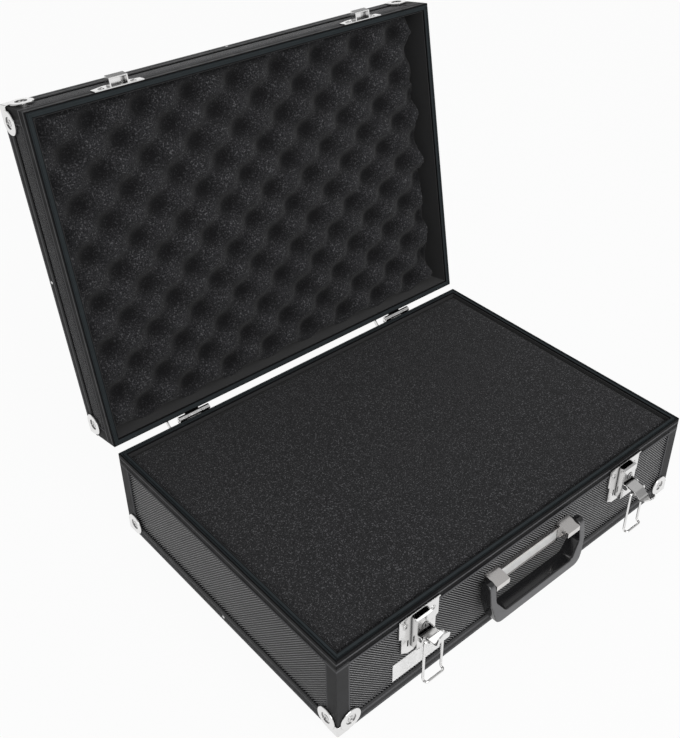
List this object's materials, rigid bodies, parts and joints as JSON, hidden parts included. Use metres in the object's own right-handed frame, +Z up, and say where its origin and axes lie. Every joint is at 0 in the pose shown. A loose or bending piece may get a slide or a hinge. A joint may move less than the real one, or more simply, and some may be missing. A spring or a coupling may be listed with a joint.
{
  "type": "camera case",
  "caption": "Rectangular hard case with a hinged lid, aluminium edge profiles, ribbed panels, foam inside, draw latches with key locks and a folding handle, standing open.",
  "frame": {"origin": "middle of the closed case's plan, on the plane that the case stands on: the flat rings of the four corner caps under the base", "axes": "+X along the width to the right of someone facing the front, -Y out of the front with the handle and latches, +Z up"},
  "size_m": [0.4638, 0.4809, 0.438],
  "materials": {
    "ribbed_panel": "satin",
    "black_profile": "satin",
    "nickel_caps": "gloss",
    "rivets": "satin",
    "base_foam": "matte",
    "lid_foam": "matte",
    "lining": "matte",
    "hinge_nickel": "gloss",
    "grip_plastic": "gloss",
    "handle_chrome": "gloss",
    "latch_nickel": "gloss",
    "lock_barrel": "satin",
    "label": "gloss"
  },
  "bodies": {
    "base": {"base_corner_caps": "nickel_caps", "base_corner_posts": "black_profile", "base_edge_back": "black_profile", "base_edge_front": "black_profile", "base_edge_left": "black_profile", "base_edge_right": "black_profile", "base_foam": "base_foam", "base_foam_pad": "base_foam", "base_lining": "lining", "base_panel_back": "ribbed_panel", "base_panel_bottom": "ribbed_panel", "base_panel_front": "ribbed_panel", "base_panel_left": "ribbed_panel", "base_panel_right": "ribbed_panel", "base_rim_back": "black_profile", "base_rim_front": "black_profile", "base_rim_left": "black_profile", "base_rim_right": "black_profile", "base_rivets": "rivets", "blank_label": "label", "handle_bracket": "handle_chrome", "handle_pins": "handle_chrome", "hinge_base_leaf_left": "hinge_nickel", "hinge_base_leaf_right": "hinge_nickel", "hinge_pins": "hinge_nickel", "latch_housing_left": "latch_nickel", "latch_housing_right": "latch_nickel", "latch_pin_left": "latch_nickel", "latch_pin_right": "latch_nickel", "latch_plate_left": "latch_nickel", "latch_plate_right": "latch_nickel"},
    "lid": {"hinge_lid_leaf_left": "hinge_nickel", "hinge_lid_leaf_right": "hinge_nickel", "lid_catch_left": "latch_nickel", "lid_catch_right": "latch_nickel", "lid_corner_caps": "nickel_caps", "lid_corner_posts": "black_profile", "lid_edge_back": "black_profile", "lid_edge_front": "black_profile", "lid_edge_left": "black_profile", "lid_edge_right": "black_profile", "lid_foam": "lid_foam", "lid_lining": "lining", "lid_panel_back": "ribbed_panel", "lid_panel_front": "ribbed_panel", "lid_panel_left": "ribbed_panel", "lid_panel_right": "ribbed_panel", "lid_panel_top": "ribbed_panel", "lid_rim_back": "black_profile", "lid_rim_front": "black_profile", "lid_rim_left": "black_profile", "lid_rim_right": "black_profile", "lid_rivets": "rivets"},
    "handle": {"handle_grip": "grip_plastic"},
    "latch_bail_left": {"latch_bail_left": "latch_nickel"},
    "latch_bail_right": {"latch_bail_right": "latch_nickel"},
    "latch_lever_left": {"latch_lever_left": "latch_nickel"},
    "latch_lever_right": {"latch_lever_right": "latch_nickel"},
    "lock_barrel_left": {"lock_barrel_left": "lock_barrel"},
    "lock_barrel_right": {"lock_barrel_right": "lock_barrel"}
  },
  "joints": [
    {"name": "lid_hinge", "type": "hinge", "parent": "base", "child": "lid", "pos_m": [0, 0.1692, 0.1], "axis": [1, 0, 0], "range_deg": [0, 100]},
    {"name": "handle_swing", "type": "hinge", "parent": "base", "child": "handle", "pos_m": [0, -0.1735, 0.0678], "axis": [-1, 0, 0], "range_deg": [0, 90]},
    {"name": "latch_lever_left_turn", "type": "hinge", "parent": "base", "child": "latch_lever_left", "pos_m": [-0.14, -0.1763, 0.071], "axis": [1, 0, 0], "range_deg": [0, 113]},
    {"name": "latch_bail_left_swing", "type": "hinge", "parent": "latch_lever_left", "child": "latch_bail_left", "pos_m": [-0.14, -0.18425, 0.07523], "axis": [1, 0, 0], "range_deg": [-293, 0]},
    {"name": "lock_barrel_left_turn", "type": "hinge", "parent": "base", "child": "lock_barrel_left", "pos_m": [-0.14, -0.1735, 0.0805], "axis": [0, 1, 0], "range_deg": [0, 90]},
    {"name": "latch_lever_right_turn", "type": "hinge", "parent": "base", "child": "latch_lever_right", "pos_m": [0.14, -0.1763, 0.071], "axis": [1, 0, 0], "range_deg": [0, 71]},
    {"name": "latch_bail_right_swing", "type": "hinge", "parent": "latch_lever_right", "child": "latch_bail_right", "pos_m": [0.14, -0.18503, 0.06882], "axis": [1, 0, 0], "range_deg": [-251, 0]},
    {"name": "lock_barrel_right_turn", "type": "hinge", "parent": "base", "child": "lock_barrel_right", "pos_m": [0.14, -0.1735, 0.0805], "axis": [0, 1, 0], "range_deg": [0, 90]}
  ],
  "couplings": [
    {"joint": "latch_bail_left_swing", "follows": "latch_lever_left_turn", "ratio": -2.5929},
    {"joint": "latch_bail_right_swing", "follows": "latch_lever_right_turn", "ratio": -3.5352}
  ]
}
